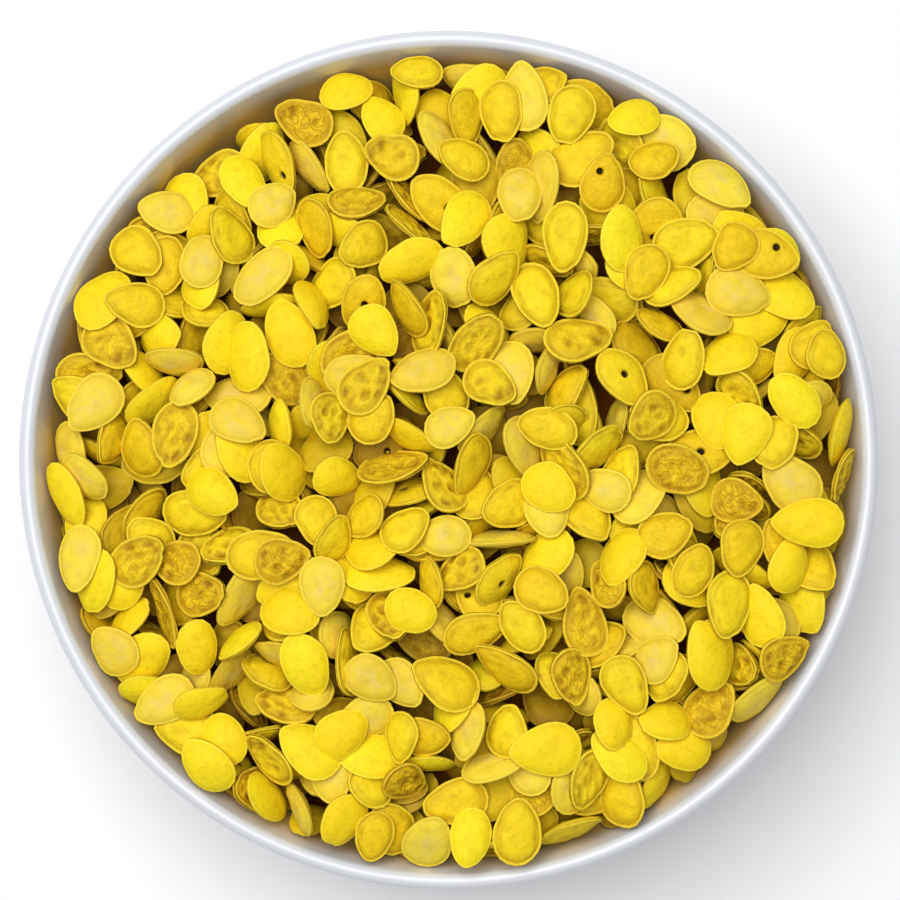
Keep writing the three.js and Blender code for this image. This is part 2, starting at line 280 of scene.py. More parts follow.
# Where the seeds lie: each is dropped on the heap, falls on a low place and settles, in millimetres.
heapSizes = {
    "seedHalf": (6.75, 4.85, 1.75),  # half length, half width and half thickness of a middling seed
    "seedScale": (0.84, 1.18),
    "widthFollows": 0.5,  # how much of the length's change the width takes on
    "widthSpread": (0.92, 1.08),
    "thicknessSpread": (0.85, 1.15),
    "lean": (5.0, 90.0, 0.9, 78.0),  # degrees: least, spread, power of the draw, most
    "edgeDrop": 1.0,  # tops below the rim, at the wall
    "domeRise": 8.0,
    "slopeRise": 2.5,
    "slopeSide": -30.0,  # degrees round from +X to the high side
    "hollowDepth": 6.0,  # at the wall on one side
    "hollowSide": 120.0,
    "hollowReach": 28.0,
    "bed": 12.0,  # depth of loose seeds over the core
    "dropped": 1200,
    "mostProud": 4.0,  # a seed that stands higher over the heap's top than this rolls off
    "press": 1.1,  # how far a seed settles in among those under it
    "wallClearance": 0.6,
    "places": (4, 80),  # tried for the first seed and for the last
    "placeInset": 1.5,
    "lies": 16,  # tried at each place
    "lieShift": 5.0,
    "proudFree": 1.5,  # standing over the heap's top costs a lie nothing up to here
    "outward": 0.6,  # how much a lie further out is preferred
    "flatterEvery": 4,  # after so many lies a seed that stands too proud lies flatter
    "tooProud": 1.5,
    "flatter": 0.88,
    "moves": 24,  # small ones, that settle it
    "moveShift": 1.2,
    "moveTurn": 0.1,
    "moveLean": 0.05,
    "wallLean": 0.4,  # near the wall it may lean further in one move
    "wallReach": 14.0,
    "cell": 0.6,  # of the grid of heights
    "solidRim": 500.0,  # height that stands for the rim, so no seed comes to lie on it
    "firstDraw": 7,
    "drawRule": (1664525, 1013904223, 4294967296),  # factor, addition and remainder of each next draw
    "topMargin": 0.8,  # seeds stay this far under the solids' top, as margin and bend stand higher
    "deep": 5.0,  # below the heap's top, where the painted shade on seeds is at its strongest
    "leastShown": 1.2,  # mm2 of a seed that must show from above
}


def heapHeight(x, y):
    size = heapSizes
    side, hollow = math.radians(size["slopeSide"]), math.radians(size["hollowSide"])
    out = np.hypot(x, y) / innerRadius
    along = (x * math.cos(side) + y * math.sin(side)) / innerRadius
    toHollow = np.hypot(x - innerRadius * math.cos(hollow), y - innerRadius * math.sin(hollow))
    taken = size["hollowDepth"] * bell(toHollow, size["hollowReach"])
    edge = bowlSizes["rimHeight"] - size["edgeDrop"]
    return edge + size["domeRise"] * (1 - out * out) + size["slopeRise"] * along - taken


def turnAbout(axis, turn):
    x, y, z = axis
    c, s = math.cos(turn), math.sin(turn)
    t = 1 - c
    return np.array([
        [c + x * x * t, x * y * t - z * s, x * z * t + y * s],
        [y * x * t + z * s, c + y * y * t, y * z * t - x * s],
        [z * x * t - y * s, z * y * t + x * s, c + z * z * t]])


def leaning(turn, lean, side):
    return turnAbout((-math.sin(side), math.cos(side), 0.0), lean) @ turnAbout((0.0, 0.0, 1.0), turn)


class Heap:
    def __init__(self):
        size = heapSizes
        self.cell = size["cell"]
        self.middle = math.ceil(bowlSizes["rimRadius"] / self.cell)
        line = (np.arange(2 * self.middle + 1) - self.middle) * self.cell
        self.x, self.y = np.meshgrid(line, line, indexing="ij")
        out = np.hypot(self.x, self.y)
        free = out < innerRadius - size["wallClearance"]
        wall = insideHeight(np.minimum(out, innerRadius) + size["wallClearance"]) + size["press"]
        bed = heapHeight(self.x, self.y) - size["bed"]
        self.top = np.maximum(bed, np.where(free, wall, size["solidRim"]))
        self.owner = np.full(self.top.shape, -1)
        self.drawn = size["firstDraw"]

    def draw(self):
        factor, addition, remainder = heapSizes["drawRule"]
        self.drawn = (self.drawn * factor + addition) % remainder
        return self.drawn / remainder

    def between(self, span):
        return span[0] + (span[1] - span[0]) * self.draw()

    def index(self, v):
        return math.floor(v / self.cell + 0.5) + self.middle

    # Where a seed, taken as an ellipsoid, comes to rest, and how its top then stands to the heap's.
    def rest(self, x, y, turn, half):
        size = heapSizes
        form = (turn / np.square(half)) @ turn.T
        reach = half[0] + self.cell
        last = 2 * self.middle
        i = slice(max(0, self.index(x - reach)), min(last, self.index(x + reach)) + 1)
        j = slice(max(0, self.index(y - reach)), min(last, self.index(y + reach)) + 1)
        dx, dy = self.x[i, j] - x, self.y[i, j] - y
        b = form[0, 2] * dx + form[1, 2] * dy
        level = form[0, 0] * dx * dx + 2 * form[0, 1] * dx * dy + form[1, 1] * dy * dy - 1
        left = b * b - form[2, 2] * level
        hit = left > 0
        root = np.sqrt(np.where(hit, left, 0))
        upper = np.where(hit, (-b + root) / form[2, 2], -np.inf)
        z = np.max(np.where(hit, self.top[i, j] + (b + root) / form[2, 2], -np.inf)) - size["press"]
        over = z + np.max(upper) - float(heapHeight(x, y))
        cost = z + max(0, over - size["proudFree"]) - size["outward"] * math.hypot(x, y)
        return {"x": x, "y": y, "z": z, "turn": turn, "half": half, "over": over, "cost": cost,
                "under": (i, j), "upper": upper}

    def lowPlace(self, filled):
        few, many = heapSizes["places"]
        best = None
        for _ in range(math.floor(few + (many - few) * filled + 0.5)):
            out = (innerRadius - heapSizes["placeInset"]) * math.sqrt(self.draw())
            turn = 2 * math.pi * self.draw()
            x, y = out * math.cos(turn), out * math.sin(turn)
            low = self.top[self.index(x), self.index(y)] - float(heapHeight(x, y))
            if best is None or low < best[2]:
                best = (x, y, low)
        return best[:2]

    def drop(self, filled):
        size = heapSizes
        x, y = self.lowPlace(filled)
        scale = self.between(size["seedScale"])
        length, width, thickness = size["seedHalf"]
        half = np.array([
            length * scale,
            width * (1 + size["widthFollows"] * (scale - 1)) * self.between(size["widthSpread"]),
            thickness * self.between(size["thicknessSpread"])])
        least, spread, power, most = size["lean"]
        lean = math.radians(min(most, least + spread * self.draw() ** power))
        best = None
        for k in range(size["lies"]):
            turn = leaning(2 * math.pi * self.draw(), lean, 2 * math.pi * self.draw())
            atX = x + size["lieShift"] * (self.draw() - 0.5)
            lie = self.rest(atX, y + size["lieShift"] * (self.draw() - 0.5), turn, half)
            if best is None or lie["cost"] < best["cost"]:
                best = lie
            if (k + 1) % size["flatterEvery"] == 0 and best["over"] > size["tooProud"]:
                lean *= size["flatter"]
        for _ in range(size["moves"]):
            nearWall = math.hypot(best["x"], best["y"]) > innerRadius - size["wallReach"]
            most = size["wallLean"] if nearWall else size["moveLean"]
            turn = size["moveTurn"] * (self.draw() - 0.5)
            nudge = leaning(turn, most * self.draw(), 2 * math.pi * self.draw())
            atX = best["x"] + size["moveShift"] * (self.draw() - 0.5)
            atY = best["y"] + size["moveShift"] * (self.draw() - 0.5)
            lie = self.rest(atX, atY, nudge @ best["turn"], half)
            if lie["cost"] < best["cost"]:
                best = lie
        return best

    # Every seed that shows from above.
    def fill(self):
        seeds = []
        for k in range(heapSizes["dropped"]):
            seed = self.drop(k / heapSizes["dropped"])
            seeds.append(seed)
            if seed["over"] > heapSizes["mostProud"]:
                continue
            height = seed["z"] + seed["upper"]
            above = height > self.top[seed["under"]]
            self.top[seed["under"]][above] = height[above]
            self.owner[seed["under"]][above] = k
        counts = np.bincount(self.owner[self.owner >= 0], minlength=len(seeds)) * self.cell ** 2
        return [s for s, shows in zip(seeds, counts) if shows > heapSizes["leastShown"]]


# Each kind of seed is one piece. A kind has a few shapes, each with its own outline, bend and dents.
seedKinds = {
    "plump_seeds": {
        "share": 0.31,
        "shapes": 9,
        "sides": 30,
        "topRings": (0.3, 0.55, 0.78),  # share of the way from the pole to the margin's rings
        "marginRings": (3.6, 2.2, 1.3, 0.7, 0.2),  # in from the edge, in the margin's half widths
        "underRings": (0.7, 0.4),
        "margin": (0.27, 0.34),  # half width, and half thickness on its crest
        "body": (1.0, 2.1, 0.6),  # half thickness to the seed's own, and two powers of its swell
        "groove": (0.25, 0.05),  # along the margin, and further in
        "dents": (3, 0.2, 1.5),  # how many, most depth and reach
        "wrinkle": (0.045, 0.0),  # height, and how much of it is worm-like
        "collapse": 0.0,
        "hole": None,
        "split": 0.0,
    },
    "grooved_seeds": {
        "share": 0.29,
        "shapes": 9,
        "sides": 32,
        "topRings": (0.25, 0.48, 0.68, 0.85),
        "marginRings": (5.2, 3.9, 3.0, 2.2, 1.4, 0.7, 0.2),
        "underRings": (0.7, 0.4),
        "margin": (0.3, 0.44),
        "body": (0.9, 2.5, 0.72),
        "groove": (0.95, 0.85),
        "dents": (5, 0.32, 1.2),
        "wrinkle": (0.09, 0.3),
        "collapse": 0.12,
        "hole": None,
        "split": 0.2,
    },
    "wrinkled_seeds": {
        "share": 0.15,
        "shapes": 8,
        "sides": 42,
        "topRings": (0.12, 0.24, 0.36, 0.48, 0.6, 0.72, 0.83, 0.93),
        "marginRings": (4.6, 3.4, 2.5, 1.7, 1.0, 0.3),
        "underRings": (0.75, 0.5, 0.25),
        "margin": (0.4, 0.6),
        "body": (0.82, 2.6, 0.8),
        "groove": (0.9, 0.8),
        "dents": (6, 0.45, 1.1),
        "wrinkle": (0.22, 0.85),
        "collapse": 0.7,
        "hole": None,
        "split": 0.35,
    },
    "pale_seeds": {
        "share": 0.19,
        "shapes": 7,
        "sides": 32,
        "topRings": (0.25, 0.48, 0.68, 0.85),
        "marginRings": (4.2, 2.8, 1.8, 1.0, 0.3),
        "underRings": (0.7, 0.4),
        "margin": (0.28, 0.38),
        "body": (0.95, 2.2, 0.64),
        "groove": (0.5, 0.3),
        "dents": (5, 0.28, 1.5),
        "wrinkle": (0.07, 0.1),
        "collapse": 0.1,
        "hole": None,
        "split": 0.0,
    },
    "pierced_seeds": {
        "share": 0.06,
        "shapes": 6,
        "sides": 36,
        "topRings": (0.12, 0.28, 0.46, 0.64, 0.82),
        "marginRings": (4.2, 3.0, 2.2, 1.4, 0.7, 0.2),
        "underRings": (0.7, 0.4),
        "margin": (0.3, 0.44),
        "body": (0.94, 2.4, 0.7),
        "groove": (0.7, 0.5),
        "dents": (4, 0.32, 1.2),
        "wrinkle": (0.08, 0.2),
        "collapse": 0.1,
        "hole": (0.72, 1.1),  # radius and depth
        "split": 0.6,
    },
}
seedForm = {
    "seed": 23,
    "phase": 6.28,  # most of a random phase
    "outlineSteps": 721,
    "taper": (0.08, 0.32),
    "pinch": (0.0, 0.3),
    "pinchReach": 0.6,
    "blunt": (0.0, 0.09),  # share of the length that the tip is cut back by
    "nick": (0.0, 0.5),  # depth of a nick beside the tip
    "nickPlace": (0.1, 0.35),  # radians from the tip
    "nickReach": 0.13,
    "uneven": 0.028,
    "unevenWaves": (2, 3, 4, 5, 7),  # times round the edge
    "crowding": 0.4,  # how much closer a seed's ribs of points stand at its tip
    "bend": (0.5, 0.3, 0.3),  # along, twist and across, at the edge
    "marginUneven": 0.5,
    "marginRingsUnder": (0.3, 1.2, 3.4),
    "bodyEdge": 0.9,  # margin half widths in from the edge
    "edgeHalf": 0.1,  # least half thickness of a seed's body
    "collapse": (0.6, 1.0),  # share of the kind's own
    "collapseReach": 0.62,
    "grooveAt": (2.5, 1.0),  # place and width of the groove, in the margin's half widths
    "furtherAt": (5.0, 1.1),
    "grooveUneven": 0.55,
    "furtherOver": 1.15,  # the further groove is strong where the first is broken
    "grooveDepth": (0.42, 0.25),
    "grooveShade": (0.95, 0.85),  # painted shade in them
    "innerFrom": (0.72, 0.2),  # share of the way out where dents and wrinkles begin to fade, and how fast
    "dentPlace": 0.6,
    "dentWide": (0.5, 1.0),
    "dentLong": (1.0, 2.2),
    "dentDepth": (0.4, 1.0),
    "dentSides": (-1, 1, 1),  # two dents in three are on top
    # painted shade in the dents
    "dentShade": 1.6,
    "softLengths": (2.5, 6.0),
    "wormLengths": (2.8, 5.6),
    "wormSharp": 1.9,
    # painted shade in the wrinkles' hollows
    "wrinkleShade": 2.2,
    "seam": 0.14,  # how deep the seam runs in round the edge
    "seamCrease": 0.9,
    "splitOpen": (0.3, 1.0),  # share of the kind's own
    "splitReach": 0.9,
    "splitDepth": 2.0,
    "splitGap": 0.4,
    "gapReach": 1.3,
    "splitDark": 1.5,
    "holePlace": (3.2, 1.8),  # furthest from the middle
    "holeRings": (0.5, 0.8, 1.0, 1.3),  # in the hole's radius
    "holeSlope": (1.25, 0.7),
    "holeDark": 1.6,
    "rimHighlightAt": (0.7, 0.9),  # the painted highlight along the margin's crest
    "rimHighlightBroken": (0.4, 0.6),
}


# Radius of a seed's outline for each angle round its middle, from the tip.
def seedOutline(rng):
    form = seedForm
    length, width, _ = heapSizes["seedHalf"]
    drawn = {name: rng.uniform(*form[name]) for name in ("taper", "pinch", "blunt", "nick")}
    t = np.linspace(-math.pi, math.pi, form["outlineSteps"])
    narrow = 1 - drawn["taper"] * np.cos(t) - drawn["pinch"] * bell(t, form["pinchReach"])
    x = np.minimum(length * np.cos(t), length * (1 - drawn["blunt"]))
    angle = np.arctan2(width * np.sin(t) * narrow, x)
    radius = np.hypot(width * np.sin(t) * narrow, x)
    for wave in form["unevenWaves"]:
        swing = form["uneven"] / math.sqrt(wave) * rng.uniform(-1, 1)
        radius = radius * (1 + swing * np.cos(wave * angle + rng.uniform(0, form["phase"])))
    beside = rng.choice([-1, 1]) * rng.uniform(*form["nickPlace"])
    radius = radius - drawn["nick"] * bell(angle, form["nickReach"], beside)
    order = np.argsort(angle)
    return lambda a: np.interp(a, angle[order], radius[order], period=2 * math.pi)


# A smooth uneven field, about 1 high: a few waves at random angles.
def waves(rng, lengths, count=8):
    turns, phases = rng.uniform(0, seedForm["phase"], count), rng.uniform(0, seedForm["phase"], count)
    pitch = 2 * math.pi / rng.uniform(*lengths, count)
    return lambda x, y: sum(
        np.cos(p * (x * math.cos(t) + y * math.sin(t)) + f)
        for t, f, p in zip(turns, phases, pitch)) / math.sqrt(count)


# The same round the edge, from about 0 to 1.
def ripple(rng):
    phases = rng.uniform(0, seedForm["phase"], 4)
    return lambda a: 0.5 + 0.5 * sum(np.cos((k + 2) * a + phases[k]) for k in range(4)) / 2.6


# A seed lies flat about the middle, with its tip towards +X. Its points stand on rings from a pole on top,
# over the edge and its seam, to a pole underneath, and a hole moves both poles to its own place.
def seedShape(name, kind, rng):
    form = seedForm
    lengthHalf, widthHalf, thickHalf = heapSizes["seedHalf"]
    sides = kind["sides"]
    half, crestHalf = kind["margin"]
    outline = seedOutline(rng)
    pole = np.zeros(2)
    if kind["hole"]:
        pole = np.array([rng.uniform(-far, far) for far in form["holePlace"]])
    even = 2 * math.pi * np.arange(sides) / sides
    turns = even - form["crowding"] * np.sin(even)
    edge = outline(turns)[:, None] * np.stack([np.cos(turns), np.sin(turns)], 1)
    reach = np.hypot(*(edge - pole).T)
    ray = (edge - pole) / reach[:, None]
    margin = kind["marginRings"][0] * half
    away = []  # distance of each ring from the pole
    if kind["hole"]:
        away += [np.full(sides, kind["hole"][0] * s) for s in form["holeRings"]]
    first = away[-1] if away else np.zeros(sides)
    away += [first + (reach - margin - first) * s for s in kind["topRings"]]
    away += [reach - d * half for d in kind["marginRings"]]
    upperRings = len(away)
    opened = kind["split"] * rng.uniform(*form["splitOpen"])
    tipShare = bell((turns + math.pi) % (2 * math.pi) - math.pi, form["splitReach"])
    away.append(reach - form["seam"] - opened * form["splitDepth"] * tipShare)
    away += [reach - d * half for d in form["marginRingsUnder"]]
    away += [(reach - form["marginRingsUnder"][-1] * half) * s for s in kind["underRings"]]
    places = np.concatenate([pole + ray * r[:, None] for r in away])
    x, y = np.concatenate([[pole], places, [pole]]).T
    side = np.full(len(x), -1.0)
    side[:1 + upperRings * sides] = 1.0
    seam = np.arange(1 + upperRings * sides, 1 + (upperRings + 1) * sides)
    side[seam] = 0.0

    # the swelling body, the raised margin and the grooves between them
    out, angle = np.hypot(x, y), np.arctan2(y, x)
    radius = outline(angle)
    inset = np.maximum(0, radius - out)
    share = np.clip(out / (radius - form["bodyEdge"] * half), 0, 1)
    thick, power, roundness = kind["body"]
    swell = thickHalf * thick * (1 - share ** power) ** roundness
    fallen = kind["collapse"] * rng.uniform(*form["collapse"])
    swell = swell * (1 - fallen * bell(share, form["collapseReach"]))
    crest = crestHalf * (1 - form["marginUneven"] * ripple(rng)(angle))
    crest = crest * np.sqrt(np.clip(1 - np.square((inset - half) / half), 0, 1))
    broken = 1 - form["grooveUneven"] * ripple(rng)(angle)
    place, wide = form["grooveAt"]
    groove = kind["groove"][0] * broken * bell(inset, wide * half, place * half)
    place, wide = form["furtherAt"]
    further = kind["groove"][1] * (form["furtherOver"] - broken) * bell(inset, wide * half, place * half)
    near, far = form["grooveDepth"]
    swell = np.maximum(swell - near * groove - far * further, form["edgeHalf"])
    height = (swell ** 3 + crest ** 3) ** (1 / 3)
    # painted shade in the grooves
    near, far = form["grooveShade"]
    creaseShadeAndSeam = near * groove + far * further

    # dents and wrinkles
    start, fade = form["innerFrom"]
    inner = 1 - np.clip((share - start) / fade, 0, 1)
    count, deepest, spread = kind["dents"]
    for _ in range(count):
        at = rng.uniform(-form["dentPlace"], form["dentPlace"], 2) * (lengthHalf, widthHalf)
        along = rng.uniform(0, form["phase"] / 2)
        wide = spread * rng.uniform(*form["dentWide"])
        long = rng.uniform(*form["dentLong"])
        u = (x - at[0]) * math.cos(along) + (y - at[1]) * math.sin(along)
        v = (y - at[1]) * math.cos(along) - (x - at[0]) * math.sin(along)
        dent = np.exp(-np.square(u / (wide * long)) - np.square(v / wide)) * inner
        dent = dent * (side * rng.choice(form["dentSides"]) > 0)
        height = height - deepest * rng.uniform(*form["dentDepth"]) * dent
        # painted shade in each dent
        creaseShadeAndSeam = creaseShadeAndSeam + form["dentShade"] * kind["wrinkle"][0] * dent
    high, worm = kind["wrinkle"]
    soft = waves(rng, form["softLengths"])(x, y)
    lines = 1 - form["wormSharp"] * np.abs(waves(rng, form["wormLengths"])(x, y))
    field = ((1 - worm) * soft + worm * lines) * inner
    height = height + high * field
    # painted shade in the wrinkles' hollows
    creaseShadeAndSeam = creaseShadeAndSeam + form["wrinkleShade"] * high * np.clip(-field, 0, 1)

    # a hole, and a split at the tip
    gap = opened * form["splitGap"] * bell(angle, form["gapReach"]) * np.clip(out / radius, 0, 1) ** 3
    # painted shade in the hole and in the split at the tip
    holeAndSplitShade = np.zeros(len(x))
    if kind["hole"]:
        fromPole = np.hypot(x - pole[0], y - pole[1])
        start, most = form["holeSlope"]
        inHole = np.clip(start - fromPole / kind["hole"][0], 0, most) / most * (side > 0)
        height = height - kind["hole"][1] * inHole
        holeAndSplitShade = np.clip(inHole * form["holeDark"], 0, 1)
    holeAndSplitShade[seam] = np.clip(opened * tipShare * form["splitDark"], 0, 1)
    creaseShadeAndSeam = np.clip(creaseShadeAndSeam, 0, 1)
    creaseShadeAndSeam[seam] = form["seamCrease"]

    along, twist, across = [most * rng.uniform(-1, 1) for most in form["bend"]]
    bend = along * (x / lengthHalf) ** 2 + twist * x * y / lengthHalf / widthHalf
    bend = bend + across * (y / widthHalf) ** 2
    points = np.stack([x, y, side * (height + gap) + bend], 1)
    made = makeObject(name, points, skinFaces(len(away), sides))
    # a painted highlight along the margin's crest, broken in places
    place, wide = form["rimHighlightAt"]
    least, more = form["rimHighlightBroken"]
    paintedRimHighlight = bell(inset, wide * half, place * half) * (side != 0) * (least + more * broken)
    mark(made, "creaseShadeAndSeam", "FLOAT", creaseShadeAndSeam)
    mark(made, "paintedRimHighlight", "FLOAT", paintedRimHighlight)
    mark(made, "holeAndSplitShade", "FLOAT", holeAndSplitShade)
    mark(made, "inner", "FLOAT", 1 - share)
    mark(made, "ownPlace", "FLOAT_VECTOR", points)
    return made


# Puts a seed shape on every resting place, at its own turn and size, and gives each a tone of its own.
def seedTree():
    tree = bpy.data.node_groups.new("seeds at rest", "GeometryNodeTree")
    sockets = (
        ("Resting places", "INPUT", "NodeSocketGeometry"), ("Seed shapes", "INPUT", "NodeSocketCollection"),
        ("Seed size", "INPUT", "NodeSocketFloat"), ("Random seed", "INPUT", "NodeSocketInt"),
        ("Husk", "INPUT", "NodeSocketMaterial"), ("Seeds", "OUTPUT", "NodeSocketGeometry"))
    for name, way, kind in sockets:
        tree.interface.new_socket(name, in_out=way, socket_type=kind)
    given = addNode(tree, "NodeGroupInput").outputs
    turn = addNode(tree, "GeometryNodeInputNamedAttribute", {"data_type": "QUATERNION"}, {"Name": "turn"})
    size = addNode(tree, "GeometryNodeInputNamedAttribute", {"data_type": "FLOAT_VECTOR"}, {"Name": "size"})
    scale = addNode(tree, "ShaderNodeVectorMath", {"operation": "SCALE"}, {
        0: size.outputs["Attribute"], "Scale": given["Seed size"]})
    shapes = addNode(tree, "GeometryNodeCollectionInfo", {}, {
        "Collection": given["Seed shapes"], "Separate Children": True, "Reset Children": True})
    pick = addNode(tree, "FunctionNodeRandomValue", {"data_type": "INT"}, {
        "Min": 0, "Max": 999, "Seed": given["Random seed"]})  # runs round through the shapes
    placed = addNode(tree, "GeometryNodeInstanceOnPoints", {}, {
        "Points": given["Resting places"], "Instance": shapes.outputs[0], "Pick Instance": True,
        "Instance Index": pick.outputs[2], "Rotation": turn.outputs["Attribute"],
        "Scale": scale.outputs["Vector"]})
    tone = addNode(tree, "FunctionNodeRandomValue", {"data_type": "FLOAT"}, {"Seed": given["Random seed"]})
    toned = addNode(tree, "GeometryNodeStoreNamedAttribute", {"data_type": "FLOAT", "domain": "INSTANCE"}, {
        "Geometry": placed.outputs["Instances"], "Name": "tone", "Value": tone.outputs[1]})
    real = addNode(tree, "GeometryNodeRealizeInstances", {}, {"Geometry": toned.outputs["Geometry"]})
    coated = addNode(tree, "GeometryNodeSetMaterial", {}, {
        "Geometry": real.outputs["Geometry"], "Material": given["Husk"]})
    addNode(tree, "NodeGroupOutput", {}, {"Seeds": coated.outputs["Geometry"]})
    return tree


def setInput(modifier, name, value):
    for item in modifier.node_group.interface.items_tree:
        if item.item_type == "SOCKET" and item.in_out == "INPUT" and item.name == name:
            modifier[item.identifier] = value


def makeSeeds(name, kind, seeds, tree, husk, rng):
    shapes = bpy.data.collections.new(name + "_shapes")
    for k in range(kind["shapes"]):
        shape = seedShape(f"{name}_shape{k:02d}", kind, rng)
        bpy.context.scene.collection.objects.unlink(shape)
        shapes.objects.link(shape)
    most = cadBox[1][2] / mm - heapSizes["topMargin"]
    heights = [min(s["z"], most - np.max(s["upper"])) for s in seeds]
    points = [(s["x"] * mm, s["y"] * mm, z * mm) for s, z in zip(seeds, heights)]
    places = makeObject(name + "_places", points, [])
    half = np.array(heapSizes["seedHalf"])
    mark(places, "turn", "QUATERNION", [Matrix(s["turn"].tolist()).to_quaternion() for s in seeds])
    mark(places, "size", "FLOAT_VECTOR", [s["half"] / half for s in seeds])
    # painted shade: seeds lying further under the heap's top are marked to be coloured browner
    mark(places, "sunk", "FLOAT", np.clip([-s["over"] / heapSizes["deep"] for s in seeds], 0, 1))
    modifier = places.modifiers.new("seeds", "NODES")
    modifier.node_group = tree
    setInput(modifier, "Seed shapes", shapes)
    setInput(modifier, "Seed size", mm)
    setInput(modifier, "Random seed", int(rng.integers(1000)))
    setInput(modifier, "Husk", husk)
    bpy.context.view_layer.update()
    graph = bpy.context.evaluated_depsgraph_get()
    mesh = bpy.data.meshes.new_from_object(
        places.evaluated_get(graph), preserve_all_data_layers=True, depsgraph=graph)
    mesh.name = name
    made = bpy.data.objects.new(name, mesh)
    bpy.context.scene.collection.objects.link(made)
    bpy.data.objects.remove(places)
    for shape in list(shapes.objects):
        bpy.data.objects.remove(shape)
    bpy.data.collections.remove(shapes)
    return made


# Roasted husk under a dusty yellow coating: dull, with a painted highlight along the edge, painted shade in
# its creases, dents, holes and on seeds deep in the heap, and a dark seam line.
huskLooks = {
    "plump_seeds": {
        "bright": "#ffe81c", "deep": "#fddb14", "mottle": 0.2, "creaseShadeAndSeam": 0.6, "dust": 0.1, "pale": 0.0,
        "speck": 0.28, "veins": 0.0, "rough": 0.09},
    "grooved_seeds": {
        "bright": "#fde31c", "deep": "#f7d012", "mottle": 0.28, "creaseShadeAndSeam": 0.8, "dust": 0.12, "pale": 0.0,
        "speck": 0.35, "veins": 0.15, "rough": 0.1},
    "wrinkled_seeds": {
        "bright": "#fadd1a", "deep": "#efc412", "mottle": 0.3, "creaseShadeAndSeam": 0.9, "dust": 0.2, "pale": 0.0,
        "speck": 0.45, "veins": 0.5, "rough": 0.16},
    "pale_seeds": {
        "bright": "#fce23c", "deep": "#f1d034", "mottle": 0.2, "creaseShadeAndSeam": 0.6, "dust": 0.25, "pale": 0.85,
        "speck": 0.2, "veins": 0.0, "rough": 0.07},
    "pierced_seeds": {
        "bright": "#fcdf1c", "deep": "#f4cb12", "mottle": 0.3, "creaseShadeAndSeam": 0.7, "dust": 0.15, "pale": 0.0,
        "speck": 0.35, "veins": 0.2, "rough": 0.1},
}


coating = {
    "noise": {  # size in mm, and detail
        "blotch": (3.4, 3.0), "mottle": (1.1, 3.0), "grain": (0.45, 2.0), "fold": (1.7, 1.0)},
    "noiseRoughness": 0.6,
    "apart": (37.0, 91.0, 53.0),  # carries each seed's pattern to a place of its own
    "foldWidth": 0.07,
    "veined": (0.08, 0.3),  # veins begin and are full, from the edge in
    # strength of the painted highlight along the margin
    "paintedRimHighlight": 0.35,
    # strength of the painted shade on seeds deep in the heap
    "sunk": 0.85,
    "layers": (  # each over the one before
        ("pale", "#efd584"),  # bare husk
        ("mottle", "#dcae0e"),
        ("speck", "#c8980c"),
        ("vein", "#ad7c08"),
        ("dust", "#ffea5c"),
        # painted highlight along the margin
        ("paintedRimHighlight", "#ffec5a"),
        # painted shade in grooves, dents and wrinkles, and the dark seam line
        ("creaseShadeAndSeam", "#9a6a06"),
        # painted shade on seeds deep in the heap
        ("sunk", "#7c5204"),
        # painted shade in holes and split tips
        ("holeAndSplitShade", "#2c1703"),
    ),
    "grainStrength": 0.6,
    "reliefStrength": 0.7,
    "reliefOver": 3,  # height of the mottle's relief to the grain's
}


